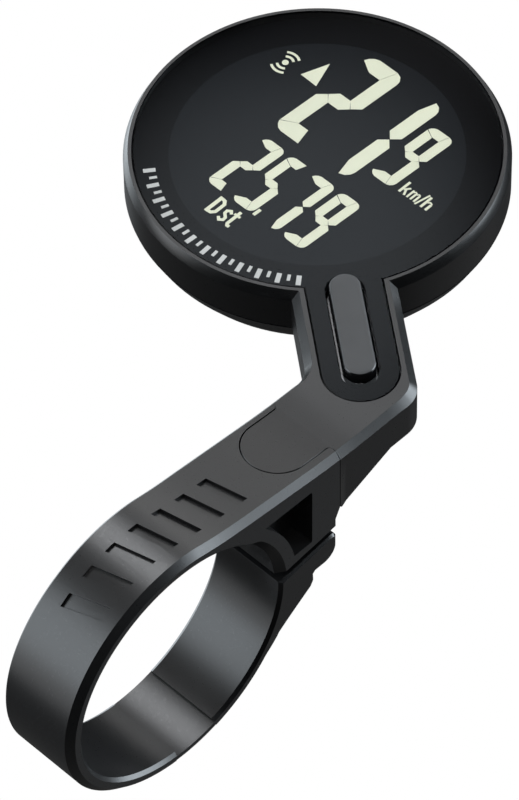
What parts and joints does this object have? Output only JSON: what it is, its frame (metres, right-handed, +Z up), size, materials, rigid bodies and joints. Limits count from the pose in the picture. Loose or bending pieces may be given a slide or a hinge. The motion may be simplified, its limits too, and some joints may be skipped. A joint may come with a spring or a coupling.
{
  "type": "cycling computer",
  "caption": "Round wireless cycling computer with a necked black lens, a side button and a one-piece out-front arm ending in a hinged handlebar clamp.",
  "frame": {"origin": "centre of the handlebar clamp's bore, halfway across the band", "axes": "+X along the handlebar to the rider's right, +Y forward, +Z up, square to the lens"},
  "size_m": [0.0586, 0.0998, 0.0362],
  "materials": {
    "case_plastic": "satin black-grey moulded plastic",
    "back_plastic": "fine-textured black plastic",
    "lens_black": "glossy window, printed black outside the display",
    "tape_black": "foam adhesive tape",
    "lcd_dark": "dark reversed liquid crystal panel",
    "segment_cream": "lit segments, cream",
    "reflector_grey": "reflective film",
    "frame_white": "white moulding",
    "zebra_rubber": "layered conductive rubber",
    "board_green": "solder-masked circuit board",
    "chip_black": "epoxy package",
    "ceramic_white": "ceramic",
    "ceramic_brown": "ceramic chip parts",
    "button_grey": "matte dark grey",
    "seal_rubber": "black silicone",
    "steel": "plated steel",
    "dark_steel": "stainless steel, satin",
    "brass": "brass"
  },
  "bodies": {
    "bracket": {"upper_case": "case_plastic", "lens": "lens_black", "lens_tape": "tape_black", "lcd_glass": "lcd_dark", "lcd_segments": "segment_cream", "lcd_reflector": "reflector_grey", "lcd_frame": "frame_white", "zebra_strips": "zebra_rubber", "pcb": "board_green", "processor": "chip_black", "radio_antenna": "ceramic_white", "crystal": "steel", "chip_parts": "ceramic_brown", "switch_body": "chip_black", "button_seal": "seal_rubber", "coin_cell": "steel", "contact_plus": "brass", "contact_minus": "brass", "rear_case": "back_plastic", "case_gasket": "seal_rubber", "case_screws": "steel", "arm_screws": "steel", "clamp_arm": "case_plastic", "threaded_insert": "brass", "living_hinge": "case_plastic"},
    "button": {"button_cap": "button_grey", "switch_plunger": "frame_white"},
    "cover": {"battery_cover": "back_plastic", "cover_o_ring": "seal_rubber"},
    "jaw": {"clamp_jaw": "case_plastic"},
    "washer": {"screw_washer": "steel"},
    "screw": {"clamp_screw": "dark_steel"}
  },
  "joints": [
    {"name": "button_press", "type": "slide", "parent": "bracket", "child": "button", "axis": [0, 0, -1], "range_m": [0, 0.0005], "stiffness_N_per_m": 1500},
    {"name": "battery_cover_turn", "type": "hinge", "parent": "bracket", "child": "cover", "pos_m": [-0.0298, 0.0583, 0.0035], "axis": [0, 0, 1], "range_deg": [0, 50]},
    {"name": "jaw_swing", "type": "hinge", "parent": "bracket", "child": "jaw", "pos_m": [0, 0.00169, -0.01739], "axis": [-1, 0, 0], "range_deg": [0, 75], "deforming": ["living_hinge"]},
    {"name": "screw_travel", "type": "slide", "parent": "jaw", "child": "washer", "axis": [0, 0, -1], "range_m": [0, 0.005]},
    {"name": "screw_turn", "type": "hinge", "parent": "washer", "child": "screw", "pos_m": [0, 0.0218, 0], "axis": [0, 0, -1], "range_deg": [0, 3600]}
  ],
  "couplings": [
    {"joint": "screw_turn", "follows": "screw_travel", "rad_per_m": 12566}
  ]
}
